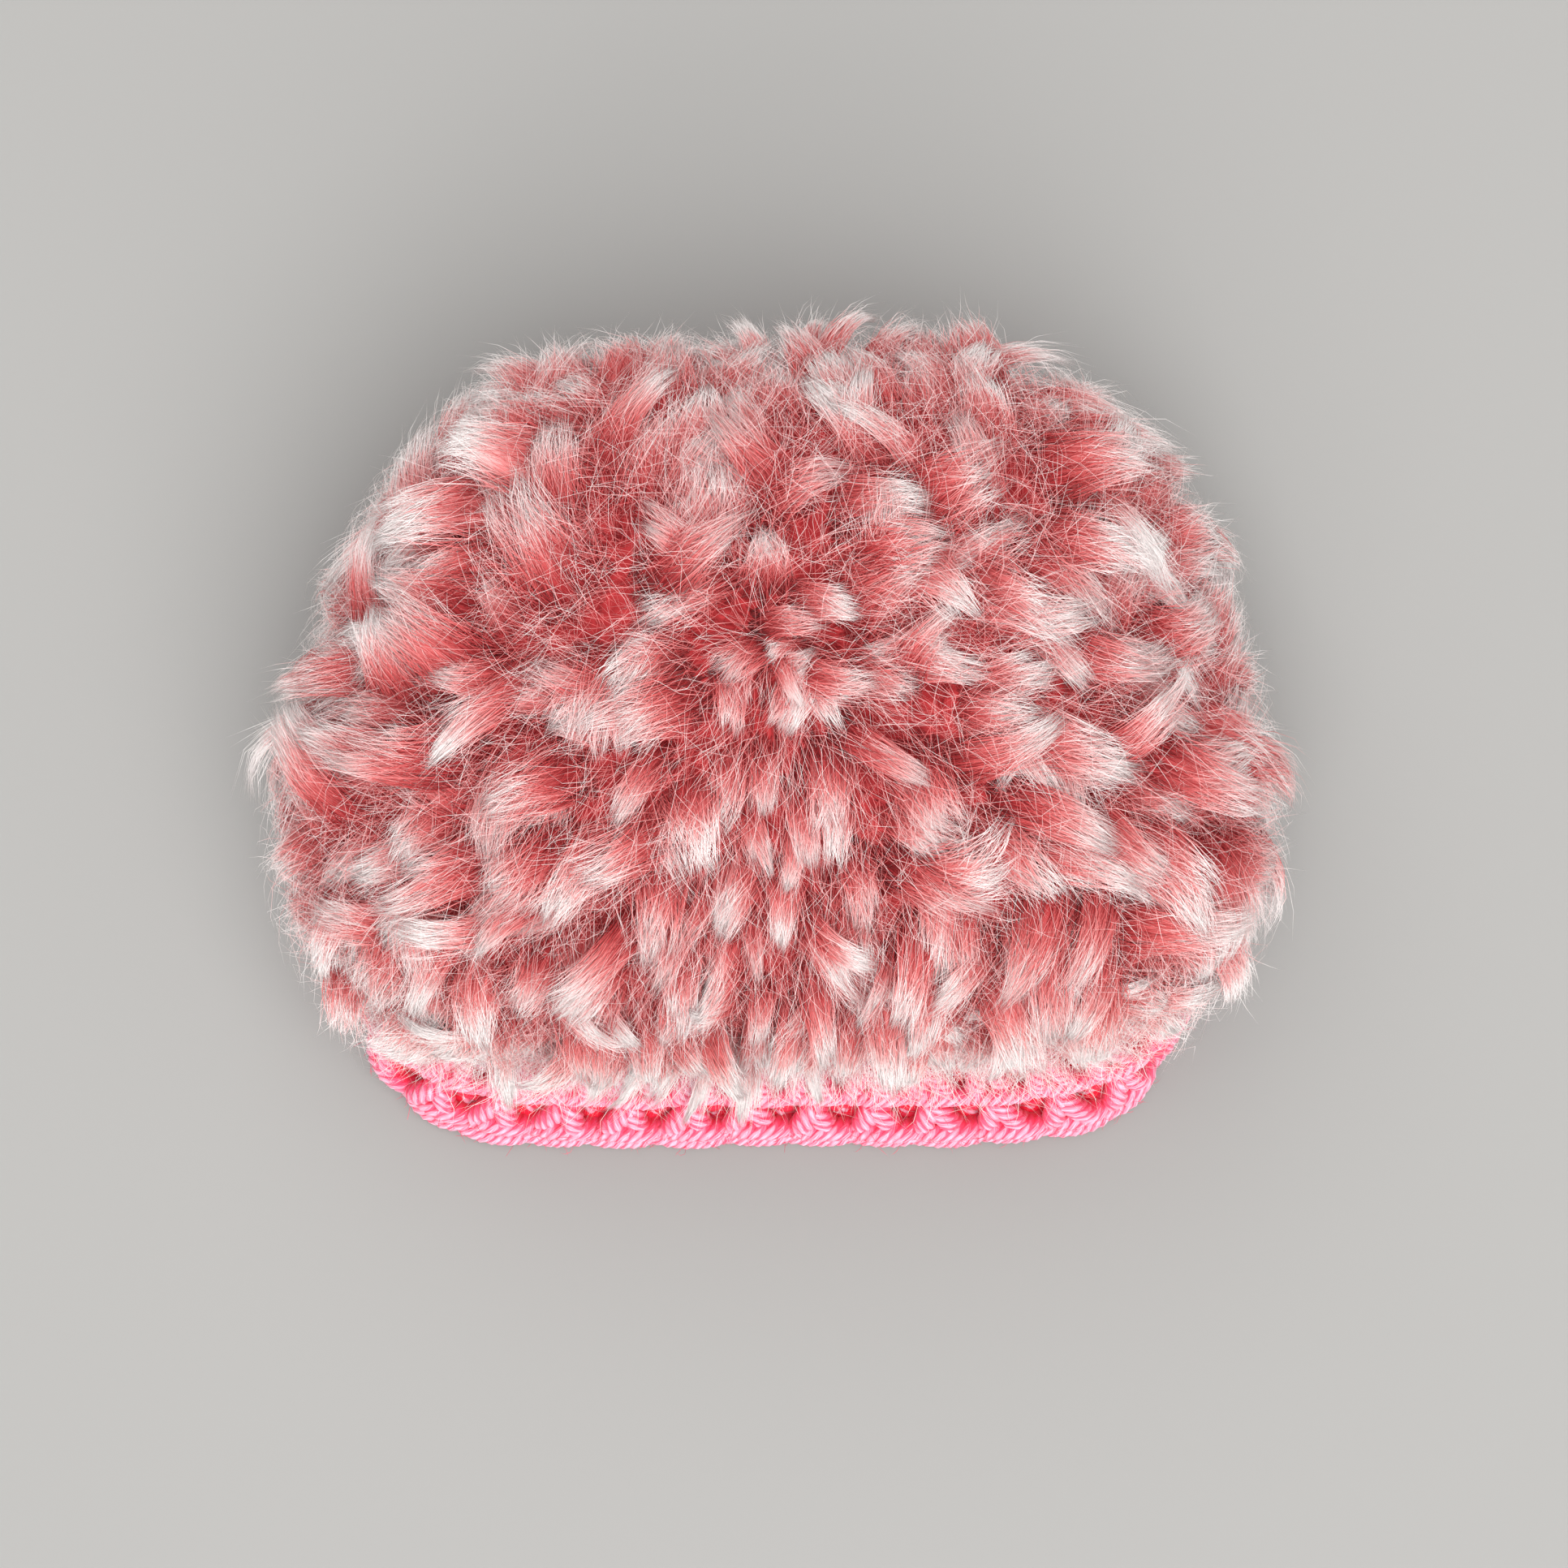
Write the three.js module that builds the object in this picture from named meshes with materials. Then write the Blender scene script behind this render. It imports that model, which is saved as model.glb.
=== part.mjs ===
// A newborn's crocheted beanie, worked in the round from the crown down and left standing on its rim.
//
// The fabric is one closed dome surface. It is described by stations that run from the crown centre to the
// rim: the ends of the magic ring, of five fur rounds and of three brim rounds. Every piece is a band of that
// surface between two stations, with a thickness measured along the surface normal. The dome slumps: its
// front leans forward so that the brim faces up, and its back stands nearly upright.
//
// Millimetres, +Z up, +X to the wearer's left as seen from the front, front towards -Y. The origin is the
// middle of the bounding box, on the surface that the rim rests on.

import * as THREE from 'three';
import { mergeVertices } from 'three/addons/utils/BufferGeometryUtils.js';

// ---- driving dimensions -------------------------------------------------------------------------------

const FUR_ROUNDS = 5;
const BRIM_ROUNDS = 3;
const RIM_STATION = 1 + FUR_ROUNDS + BRIM_ROUNDS;   // station 0 is the crown centre, 1 the magic ring's edge
const FUR_END_STATION = 1 + FUR_ROUNDS;

// How far the fabric reaches from the crown axis, and its height, at each station: to the front, the sides
// and the back.
const FRONT = {
  reach: [0, 7, 18.5, 28.7, 37, 42.2, 45, 49.7, 54.9, 60.5],
  height: [54, 53.6, 50.5, 44.4, 35.8, 25, 13.4, 9.1, 4.8, 0],
};
const SIDE = {
  reach: [0, 7, 19, 30.8, 41.5, 50, 53.4, 51.2, 49.2, 47.6],
  height: [54, 53.8, 52, 48, 41.5, 32.5, 20.5, 13.7, 6.9, 0],
};
const BACK = {
  reach: [0, 7, 17.8, 25.4, 28.6, 29, 27.5, 27, 28, 29.5],
  height: [54, 54.3, 53, 46.3, 35.5, 24.3, 13.8, 9, 4.6, 0],
};
// How square the outline is: 2 is an ellipse. The front of the brim lies almost straight.
const FRONT_SQUARENESS = [2, 2, 2.1, 2.3, 2.5, 2.8, 3.3, 4, 5, 6];
const BACK_SQUARENESS = [2, 2, 2.5, 3, 3.6, 4.2, 4.4, 4, 3.6, 3.4];
// How much narrower the outline is at the middle of the back than at its widest line, as a share.
const BACK_TAPER = [0, 0, 0.05, 0.12, 0.18, 0.22, 0.24, 0.2, 0.16, 0.14];
const WIDEST_SHARE = 0.38;          // how far back from the front edge each outline is widest
// The small unevenness of the outline: how many waves go round the hat, their phase, and their size as a
// share of the radius at the rim.
const SLUMP = [
  { waves: 2, phase: 0.6, share: 0.016 },
  { waves: 3, phase: -1.1, share: 0.011 },
];

const CORE_HALF_THICKNESS = 1.8;    // the crocheted core thread of the fur yarn
const BRIM_HALF_THICKNESS = 2.3;    // stitches of a 2.8 mm yarn
const GAP = 0.3;                    // between pieces that touch on the real hat
const FUR_ROUND_DEPTH = 12;         // fabric from one fur round to the next
const BRIM_ROUND_DEPTH = 6;
const RING_START_STATION = 0.3;     // the hole that the magic ring leaves when it is drawn shut
const PILE_CLEARANCE = 0.7;         // from the fabric to the underside of the pile's solid
const PILE_HEIGHT = { top: 5.6, middle: 8.6, hem: 7.6, fringe: 5.2 };   // above the middle of the fabric
const PILE_OVERLAP = 0.3;           // how far each round's pile hangs over the next, in rounds
const FRINGE_STATION = 6.6;         // where the last pile ends, over the first brim round

const TAIL_RADIUS = { core: 1.1, brim: 1.4 };

const RING_STEPS = 48;              // facets round the hat
const NORMAL_STEP = 0.02;           // how far apart, in stations and radians, the surface's slope is measured
const FIRST_NORMAL_STATION = 0.2;   // nearer the crown centre than this the slope stays the same
const TAIL_SIDES = 8;
const TAIL_STEPS = 12;

const COLOURS = { core: 0xc4484b, pile: 0xdf9c9b, brim: 0xf56f98 };
const ROUGHNESS = { core: 0.9, pile: 0.95, brim: 0.8 };

// ---- the fabric surface -------------------------------------------------------------------------------

// A smooth curve through a list of values, one for each station (Catmull-Rom).
function atStation(values, station) {
  const last = values.length - 1;
  const i = Math.min(Math.max(Math.floor(station), 0), last - 1);
  const t = station - i;
  const b = values[i];
  const c = values[i + 1];
  const a = i > 0 ? values[i - 1] : 2 * b - c;
  const d = i + 2 <= last ? values[i + 2] : 2 * c - b;
  return b + 0.5 * t * (c - a + t * (2 * a - 5 * b + 4 * c - d + t * (3 * (b - c) + d - a)));
}

// A point of the fabric's middle surface. The angle is 0 at +X and turns towards +Y.
function fabricPoint(station, angle) {
  const front = atStation(FRONT.reach, station);
  const back = atStation(BACK.reach, station);
  const side = atStation(SIDE.reach, station);
  const centreY = -front + WIDEST_SHARE * (front + back);
  const toFront = Math.sin(angle) < 0;
  const depth = toFront ? centreY + front : back - centreY;
  const squareness = atStation(toFront ? FRONT_SQUARENESS : BACK_SQUARENESS, station);
  const across = Math.abs(Math.cos(angle));
  const along = Math.abs(Math.sin(angle));
  const grown = (across / side) ** squareness + (along / depth) ** squareness;
  const evenRadius = grown ** (-1 / squareness);
  const taper = toFront ? 0 : (atStation(BACK_TAPER, station) * evenRadius * along) / depth;
  const uneven = SLUMP.reduce((sum, w) => sum + w.share * Math.sin(w.waves * angle + w.phase), 0);
  const radius = evenRadius * (1 + (uneven * station) / RIM_STATION);
  const endHeight = atStation((toFront ? FRONT : BACK).height, station);
  const height = atStation(SIDE.height, station) * across ** 2 + endHeight * along ** 2;
  const x = radius * Math.cos(angle) * (1 - taper);
  return new THREE.Vector3(x, centreY + radius * Math.sin(angle), height);
}

// The same point moved out of the hat along the surface's normal.
function offsetPoint(station, angle, offset) {
  const down = Math.max(station, FIRST_NORMAL_STATION);
  const along = fabricPoint(down + NORMAL_STEP, angle).sub(fabricPoint(down - NORMAL_STEP, angle));
  const round = fabricPoint(down, angle + NORMAL_STEP).sub(fabricPoint(down, angle - NORMAL_STEP));
  const normal = along.cross(round).normalize();
  return fabricPoint(Math.max(station, 1e-4), angle).addScaledVector(normal, offset);
}

// ---- solids -------------------------------------------------------------------------------------------

const hat = new THREE.Group();

function addMesh(name, geometry, kind) {
  const look = { color: COLOURS[kind], roughness: ROUGHNESS[kind], metalness: 0 };
  const mesh = new THREE.Mesh(geometry, new THREE.MeshStandardMaterial(look));
  mesh.name = name;
  hat.add(mesh);
}

function closedGeometry(points, triangles) {
  const geometry = new THREE.BufferGeometry();
  geometry.setAttribute('position', new THREE.Float32BufferAttribute(points.flatMap((p) => p.toArray()), 3));
  geometry.setIndex(triangles);
  geometry.computeVertexNormals();
  return geometry;
}

// The two triangles between neighbouring copies of one side of a section. The side's first corner has the
// indices here and next, and its second corner hereEnd and nextEnd. Sides that face each other across a gap
// are split along the same diagonal, so that their facets stay parallel.
function sideTriangles(first, second, here, hereEnd, next, nextEnd) {
  const forwards = first[0] < second[0] || (first[0] === second[0] && first[1] < second[1]);
  if (forwards) return [here, hereEnd, nextEnd, here, nextEnd, next];
  return [here, hereEnd, next, hereEnd, nextEnd, next];
}

// A ring solid: its section is a closed loop of [station, offset] corners, swept round the hat.
// With onFloor, the section's lowest station is set down flat on the floor.
function ringSolid(section, onFloor = false) {
  const points = [];
  const triangles = [];
  const corners = section.length;
  for (let i = 0; i < RING_STEPS; i += 1) {
    const angle = (2 * Math.PI * i) / RING_STEPS;
    for (const [station, offset] of section) {
      const point = offsetPoint(station, angle, offset);
      if (onFloor && station === RIM_STATION) point.z = 0;
      points.push(point);
    }
    const here = i * corners;
    const next = ((i + 1) % RING_STEPS) * corners;
    for (let j = 0; j < corners; j += 1) {
      const k = (j + 1) % corners;
      triangles.push(...sideTriangles(section[j], section[k], here + j, here + k, next + j, next + k));
    }
  }
  return closedGeometry(points, triangles);
}

// A cap solid over the crown: the profile runs from the axis out along the top and back along the underside.
function capSolid(profile) {
  const pole = (offset) => offsetPoint(0, 0, offset);
  const rim = profile.slice(1, -1);
  const points = [pole(profile[0][1]), pole(profile.at(-1)[1])];
  const triangles = [];
  const corners = rim.length;
  for (let i = 0; i < RING_STEPS; i += 1) {
    const angle = (2 * Math.PI * i) / RING_STEPS;
    for (const [station, offset] of rim) points.push(offsetPoint(station, angle, offset));
    const here = 2 + i * corners;
    const next = 2 + ((i + 1) % RING_STEPS) * corners;
    triangles.push(0, here, next);
    for (let j = 0; j + 1 < corners; j += 1) {
      const k = j + 1;
      triangles.push(...sideTriangles(rim[j], rim[k], here + j, here + k, next + j, next + k));
    }
    triangles.push(here + corners - 1, 1, next + corners - 1);
  }
  return closedGeometry(points, triangles);
}

// The section of a band of fabric between two stations, as thick on both sides.
function fabricSection(start, end, halfThickness) {
  const middle = (start + end) / 2;
  return [
    [start, halfThickness], [middle, halfThickness], [end, halfThickness],
    [end, -halfThickness], [middle, -halfThickness], [start, -halfThickness],
  ];
}

// The section of a round of pile: low where it leaves the fabric, full over its middle, lower at its hem.
function pileSection(start, end, underStart, underEnd, hemHeight) {
  const middle = (start + end) / 2;
  return [
    [start, PILE_HEIGHT.top], [middle, PILE_HEIGHT.middle], [end, hemHeight],
    [end, underEnd], [middle, Math.max(underStart, underEnd)], [start, underStart],
  ];
}

// ---- the fur rounds and their pile --------------------------------------------------------------------

const furGap = GAP / 2 / FUR_ROUND_DEPTH;       // half a gap, in stations
const brimGap = GAP / 2 / BRIM_ROUND_DEPTH;
const underPile = CORE_HALF_THICKNESS + PILE_CLEARANCE;
const underFringe = BRIM_HALF_THICKNESS + PILE_CLEARANCE;

const ringSection = fabricSection(RING_START_STATION, 1 - furGap, CORE_HALF_THICKNESS);
addMesh('magic_ring', ringSolid(ringSection), 'core');
for (let round = 1; round <= FUR_ROUNDS; round += 1) {
  const section = fabricSection(round + furGap, round + 1 - furGap, CORE_HALF_THICKNESS);
  addMesh(`fur_round_${round}`, ringSolid(section), 'core');
}

const crownEdge = 1 + PILE_OVERLAP - furGap;
const crownProfile = [
  [0, PILE_HEIGHT.middle], [crownEdge / 2, PILE_HEIGHT.middle], [crownEdge, PILE_HEIGHT.hem],
  [crownEdge, underPile], [crownEdge / 2, underPile], [0, underPile],
];
addMesh('crown_pile', capSolid(crownProfile), 'pile');
for (let round = 1; round <= FUR_ROUNDS; round += 1) {
  const isLast = round === FUR_ROUNDS;
  const start = round + PILE_OVERLAP + furGap;
  const section = isLast
    ? pileSection(start, FRINGE_STATION, underPile, underFringe, PILE_HEIGHT.fringe)
    : pileSection(start, round + 1 + PILE_OVERLAP - furGap, underPile, underPile, PILE_HEIGHT.hem);
  addMesh(`pile_round_${round}`, ringSolid(section), 'pile');
}

// ---- the brim -----------------------------------------------------------------------------------------

for (let round = 1; round <= BRIM_ROUNDS; round += 1) {
  const start = FUR_END_STATION + round - 1 + brimGap;
  const isEdge = round === BRIM_ROUNDS;
  const end = isEdge ? RIM_STATION : FUR_END_STATION + round - brimGap;
  const name = isEdge ? 'brim_edge_round' : `brim_round_${round}`;
  const solid = ringSolid(fabricSection(start, end, BRIM_HALF_THICKNESS), isEdge);
  addMesh(name, solid, 'brim');
}

// ---- the woven-in yarn ends, on the inside of the fabric ----------------------------------------------

// A tail runs along the inside of the fabric, between two [station, angle in degrees] ends.
function tailSolid(from, to, halfThickness, radius) {
  const depth = -(halfThickness + PILE_CLEARANCE + radius);
  const route = [];
  for (let i = 0; i <= TAIL_STEPS; i += 1) {
    const t = i / TAIL_STEPS;
    const station = from[0] + (to[0] - from[0]) * t;
    const angle = THREE.MathUtils.degToRad(from[1] + (to[1] - from[1]) * t);
    route.push(offsetPoint(station, angle, depth));
  }
  const outline = [];
  for (let i = 0; i < TAIL_SIDES; i += 1) {
    const angle = (2 * Math.PI * i) / TAIL_SIDES;
    outline.push(new THREE.Vector2(radius * Math.cos(angle), radius * Math.sin(angle)));
  }
  const extrudePath = new THREE.CatmullRomCurve3(route);
  const geometry = new THREE.ExtrudeGeometry(new THREE.Shape(outline), { steps: TAIL_STEPS, extrudePath });
  geometry.deleteAttribute('normal');
  geometry.deleteAttribute('uv');
  return mergeVertices(geometry, 1e-4);
}

const TAILS = [
  ['fur_start_tail', [1.3, 100], [3.0, 70], 'core'],
  ['fur_end_tail', [5.6, 84], [5.4, 46], 'core'],
  ['brim_start_tail', [6.5, 96], [6.5, 132], 'brim'],
  ['brim_end_tail', [8.3, 88], [8.3, 50], 'brim'],
];
const FABRIC_HALF_THICKNESS = { core: CORE_HALF_THICKNESS, brim: BRIM_HALF_THICKNESS };
for (const [name, from, to, kind] of TAILS) {
  addMesh(name, tailSolid(from, to, FABRIC_HALF_THICKNESS[kind], TAIL_RADIUS[kind]), kind);
}

// The crown axis is where the surface is measured from, so the hat is set over the middle of its own box.
const box = new THREE.Box3().setFromObject(hat);
const centre = box.getCenter(new THREE.Vector3());
hat.position.set(-centre.x, -centre.y, -box.min.z);

export default hat;
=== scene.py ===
"""A newborn's crocheted faux-fur beanie with a plain yarn brim, standing slumped on its rim.

The CAD frame gives the hat's place. The fabric surface is the one that the CAD solids are bands of, and every
stitch, ply and fibre below is laid out on it, in millimetres, and turned into metres when its mesh is made.
"""

import bpy
import numpy as np
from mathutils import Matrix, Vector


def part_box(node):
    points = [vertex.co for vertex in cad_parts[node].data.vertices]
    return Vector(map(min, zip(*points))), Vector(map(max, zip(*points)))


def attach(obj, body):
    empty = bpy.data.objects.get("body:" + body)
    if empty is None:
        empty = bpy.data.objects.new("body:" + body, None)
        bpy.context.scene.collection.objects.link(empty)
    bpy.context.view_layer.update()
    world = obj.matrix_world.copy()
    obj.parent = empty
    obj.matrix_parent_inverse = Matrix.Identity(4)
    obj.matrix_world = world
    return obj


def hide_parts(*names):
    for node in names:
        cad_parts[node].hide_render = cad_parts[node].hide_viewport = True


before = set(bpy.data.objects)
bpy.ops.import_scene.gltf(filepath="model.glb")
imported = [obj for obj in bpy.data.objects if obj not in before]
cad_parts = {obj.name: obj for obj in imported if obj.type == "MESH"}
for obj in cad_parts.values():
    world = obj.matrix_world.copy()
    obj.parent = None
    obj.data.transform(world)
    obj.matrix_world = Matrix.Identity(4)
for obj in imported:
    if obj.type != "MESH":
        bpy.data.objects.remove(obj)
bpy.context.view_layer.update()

MM = 0.001
TAU = 2 * np.pi
BODY = "root"
BAKE_UV = "OFBake"
rng = np.random.default_rng(7)

# ---- the fabric surface, in millimetres ---------------------------------------------------------------

FUR_ROUNDS = 5
BRIM_ROUNDS = 3
FUR_END = 1 + FUR_ROUNDS
RIM = FUR_END + BRIM_ROUNDS
DEPTHS = np.array([0, 7, 19, 31, 43, 55, 67, 73.5, 80, 86.5])   # fabric from the crown to each station
FRONT_REACH = np.array([0, 7, 18.5, 28.7, 37, 42.2, 45, 49.7, 54.9, 60.5])
FRONT_HEIGHT = np.array([54, 53.6, 50.5, 44.4, 35.8, 25, 13.4, 9.1, 4.8, 0])
SIDE_REACH = np.array([0, 7, 19, 30.8, 41.5, 50, 53.4, 51.2, 49.2, 47.6])
SIDE_HEIGHT = np.array([54, 53.8, 52, 48, 41.5, 32.5, 20.5, 13.7, 6.9, 0])
BACK_REACH = np.array([0, 7, 17.8, 25.4, 28.6, 29, 27.5, 27, 28, 29.5])
BACK_HEIGHT = np.array([54, 54.3, 53, 46.3, 35.5, 24.3, 13.8, 9, 4.6, 0])
FRONT_SQUARENESS = np.array([2, 2, 2.1, 2.3, 2.5, 2.8, 3.3, 4, 5, 6])
BACK_SQUARENESS = np.array([2, 2, 2.5, 3, 3.6, 4.2, 4.4, 4, 3.6, 3.4])
BACK_TAPER = np.array([0, 0, 0.05, 0.12, 0.18, 0.22, 0.24, 0.2, 0.16, 0.14])
WIDEST_SHARE = 0.38
SLUMP = [(2, 0.6, 0.016), (3, -1.1, 0.011)]     # waves round the hat, phase, share of the radius at the rim
CROWN = (np.array(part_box("magic_ring")[0]) + np.array(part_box("magic_ring")[1])) / 2 / MM
NORMAL_STEP = 0.02          # how far apart, in stations and radians, the surface's slope is measured
FIRST_NORMAL_STATION = 0.2  # nearer the crown than this the slope stays the same
FIRST_STATION = 1e-3        # the crown's own point lies at no angle
ROUND_STEPS = 720           # what a round's length is measured in
FLOOR_SOFTNESS = 0.8        # lower than this, yarn starts to flatten on the floor


def at_station(values, station):
    """A smooth curve through one value for each station (Catmull-Rom)."""
    last = len(values) - 1
    i = np.clip(np.floor(station).astype(int), 0, last - 1)
    t = station - i
    b = values[i]
    c = values[i + 1]
    a = np.where(i > 0, values[np.maximum(i - 1, 0)], 2 * b - c)
    d = np.where(i + 2 <= last, values[np.minimum(i + 2, last)], 2 * c - b)
    return b + 0.5 * t * (c - a + t * (2 * a - 5 * b + 4 * c - d + t * (3 * (b - c) + d - a)))


def fabric(station, angle):
    """Points of the fabric's middle surface; the angle is 0 at +X and turns towards +Y."""
    station, angle = np.broadcast_arrays(np.asarray(station, float), np.asarray(angle, float))
    front = at_station(FRONT_REACH, station)
    back = at_station(BACK_REACH, station)
    centre_y = -front + WIDEST_SHARE * (front + back)
    to_front = np.sin(angle) < 0
    depth = np.where(to_front, centre_y + front, back - centre_y)
    squareness = np.where(
        to_front, at_station(FRONT_SQUARENESS, station), at_station(BACK_SQUARENESS, station)
    )
    across = np.abs(np.cos(angle))
    along = np.abs(np.sin(angle))
    grown = (across / at_station(SIDE_REACH, station)) ** squareness + (along / depth) ** squareness
    even_radius = grown ** (-1 / squareness)
    taper = np.where(to_front, 0, at_station(BACK_TAPER, station) * even_radius * along / depth)
    uneven = sum(share * np.sin(waves * angle + phase) for waves, phase, share in SLUMP)
    radius = even_radius * (1 + uneven * station / RIM)
    end_height = np.where(
        to_front, at_station(FRONT_HEIGHT, station), at_station(BACK_HEIGHT, station)
    )
    height = at_station(SIDE_HEIGHT, station) * across**2 + end_height * along**2
    x = CROWN[0] + radius * np.cos(angle) * (1 - taper)
    y = CROWN[1] + centre_y + radius * np.sin(angle)
    return np.stack([x, y, height], -1)


def unit(vectors):
    return vectors / np.maximum(np.linalg.norm(vectors, axis=-1, keepdims=True), 1e-12)


def fabric_normal(station, angle):
    down = np.maximum(station, FIRST_NORMAL_STATION)
    along = fabric(down + NORMAL_STEP, angle) - fabric(down - NORMAL_STEP, angle)
    around = fabric(down, angle + NORMAL_STEP) - fabric(down, angle - NORMAL_STEP)
    return unit(np.cross(along, around))


def off_fabric(station, angle, height):
    """Points at a height above the fabric's middle surface, and the surface's normals there."""
    station = np.maximum(station, FIRST_STATION)
    normal = fabric_normal(station, angle)
    return fabric(station, angle) + normal * np.asarray(height)[..., None], normal


def round_angles(station, shares):
    """The angles that lie at these shares of a round's length, measured from the middle of the back."""
    angles = np.linspace(0, TAU, 2 * ROUND_STEPS + 1) + TAU / 4
    points = fabric(station, angles)
    steps = np.linalg.norm(np.diff(points, axis=0), axis=1)
    length = np.concatenate([[0], np.cumsum(steps)])
    whole = np.floor(shares)
    return np.interp((shares - whole) * length[-1], length, angles) + whole * TAU


def round_length(station):
    points = fabric(station, np.linspace(0, TAU, ROUND_STEPS + 1))
    return np.linalg.norm(np.diff(points, axis=0), axis=1).sum()


def rest_on_floor(points):
    """Yarn pressed against the floor flattens instead of passing through it."""
    z = points[..., 2]
    pressed = FLOOR_SOFTNESS * np.exp((z - FLOOR_SOFTNESS) / FLOOR_SOFTNESS)
    points[..., 2] = np.where(z < FLOOR_SOFTNESS, pressed, z)
    return points


# ---- meshes -------------------------------------------------------------------------------------------

PLY_FULLNESS = 1.12         # plies press into each other by this much
FUZZ_LENGTH = (0.9, 2.4)    # a yarn's loose fibres, from the shortest to the longest
FUZZ_SHARES = np.array([0, 0.35, 0.7, 1.0])
FUZZ_RADII = 0.03 * np.array([1.0, 1.0, 0.8, 0.0])
FUZZ_SPREAD = 0.9           # radians round the yarn, from its outer side
FUZZ_LIFT = 0.45            # how steeply they leave the yarn
FUZZ_WANDER = 0.35
FUZZ_CURL = 0.16            # beside their length
FUZZ_ROOT = 0.88            # where they start, as a share of the yarn's radius
FUZZ_U = 0.85               # where on the yarn's ramp of painted shade and painted highlight they take their colour
FUZZ_V = 0.5


def add_piece(name, parts, material, node):
    """One object from a list of (points in mm, faces, corner UVs); faces is (n, 3) or (n, 4)."""
    points, loops, starts, uvs = [], [], [], []
    first_point = 0
    first_loop = 0
    for part_points, face_sets in parts:
        points.append(part_points.reshape(-1, 3))
        for faces, corner_uv in face_sets:
            corners = faces.shape[1]
            loops.append((faces + first_point).ravel())
            starts.append(first_loop + np.arange(len(faces)) * corners)
            uvs.append(corner_uv.reshape(-1, 2))
            first_loop += faces.size
        first_point += len(points[-1])
    points = np.concatenate(points) * MM
    loops = np.concatenate(loops)
    starts = np.concatenate(starts)
    mesh = bpy.data.meshes.new(name)
    mesh.vertices.add(len(points))
    mesh.vertices.foreach_set("co", points.astype(np.float32).ravel())
    mesh.loops.add(len(loops))
    mesh.loops.foreach_set("vertex_index", loops.astype(np.int32))
    mesh.polygons.add(len(starts))
    mesh.polygons.foreach_set("loop_start", starts.astype(np.int32))
    mesh.update(calc_edges=True)
    layer = mesh.uv_layers.new(name=BAKE_UV)
    layer.data.foreach_set("uv", np.concatenate(uvs).astype(np.float32).ravel())
    mesh.shade_smooth()
    mesh.materials.append(material)
    piece = bpy.data.objects.new(name, mesh)
    bpy.context.scene.collection.objects.link(piece)
    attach(piece, BODY)
    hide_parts(node)


def fibres(paths, radii, tone, shares):
    """Tapered three-sided fibres. Each of the (n, m) paths ends in a point. U is the fibre's tone and V
    its share of the way from root to tip."""
    n, m = paths.shape[:2]
    lean = unit(paths[:, -1] - paths[:, 0])
    first = unit(np.cross(lean, unit(rng.normal(size=(n, 3)))))
    second = np.cross(lean, first)
    turn = np.arange(3) * TAU / 3
    spoke = np.cos(turn)[:, None] * first[:, None] + np.sin(turn)[:, None] * second[:, None]
    rings = paths[:, :-1, None] + radii[:, :-1, None, None] * spoke[:, None]
    points = np.concatenate([rings.reshape(n, -1, 3), paths[:, -1:]], 1)
    base = (np.arange(n) * (3 * (m - 1) + 1))[:, None, None]
    j, k = np.meshgrid(np.arange(m - 2), np.arange(3), indexing="ij")
    a = (3 * j + k).ravel()
    b = (3 * j + (k + 1) % 3).ravel()
    quad = np.stack([a, b, b + 3, a + 3], -1)
    quad_v = np.stack([j.ravel(), j.ravel(), j.ravel() + 1, j.ravel() + 1], -1)
    last = 3 * (m - 2)
    tri = np.array([[last, last + 1, last + 3], [last + 1, last + 2, last + 3], [last + 2, last, last + 3]])
    tri = np.concatenate([tri, [[0, 2, 1]]])
    tri_v = np.array([[m - 2, m - 2, m - 1]] * 3 + [[0, 0, 0]])

    def corner_uv(rows):
        v = shares[:, rows]
        return np.stack([np.broadcast_to(tone[:, None, None], v.shape), v], -1)

    quads = (base + quad).reshape(-1, 4)
    tris = (base + tri).reshape(-1, 3)
    return points, [(quads, corner_uv(quad_v)), (tris, corner_uv(tri_v))]


def tubes(paths, outward, radius, sides, shares, spokes=None, offset=0.0, yarn_radius=None):
    """Round closed tubes along (n, m) paths, single or as the plies of a yarn. U is how far a point stands
    out, half from its ply and half from the fabric, which the yarn's colours turn into painted shade and
    painted highlight, and V is the share of the length."""
    n, m = paths.shape[:2]
    spokes = outward if spokes is None else spokes
    along = unit(np.gradient(paths, axis=1))
    first = unit(spokes - (spokes * along).sum(-1, keepdims=True) * along)
    second = np.cross(along, first)
    turn = np.arange(sides) * TAU / sides + np.pi
    ring = radius * (np.cos(turn)[:, None] * first[:, :, None] + np.sin(turn)[:, None] * second[:, :, None])
    points = paths[:, :, None] + ring
    from_axis = (ring + np.broadcast_to(offset, paths.shape)[:, :, None]) / (yarn_radius or radius)
    facing = (from_axis * outward[:, :, None]).sum(-1)
    from_ply = (1 + np.cos(turn)) / 2
    from_fabric = (1 + facing) / 2
    # this value becomes painted shade and painted highlight in the yarn's colours
    stand = np.clip((from_ply + from_fabric) / 2, 0, 1).reshape(n, -1)
    base = (np.arange(n) * m * sides)[:, None, None]
    j, k = np.meshgrid(np.arange(m - 1), np.arange(sides), indexing="ij")
    a = (sides * j + k).ravel()
    b = (sides * j + (k + 1) % sides).ravel()
    quads = np.stack([a, b, b + sides, a + sides], -1)
    fan = np.stack([np.zeros(sides - 2, int), np.arange(1, sides - 1), np.arange(2, sides)], -1)
    caps = np.concatenate([fan[:, ::-1], fan + sides * (m - 1)])

    def corner_uv(faces):
        v = np.broadcast_to(shares[faces // sides], (n, *faces.shape))
        return np.stack([stand[:, faces], v], -1)

    wall = ((base + quads).reshape(-1, 4), corner_uv(quads))
    ends = ((base + caps).reshape(-1, 3), corner_uv(caps))
    return points, [wall, ends]


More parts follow.
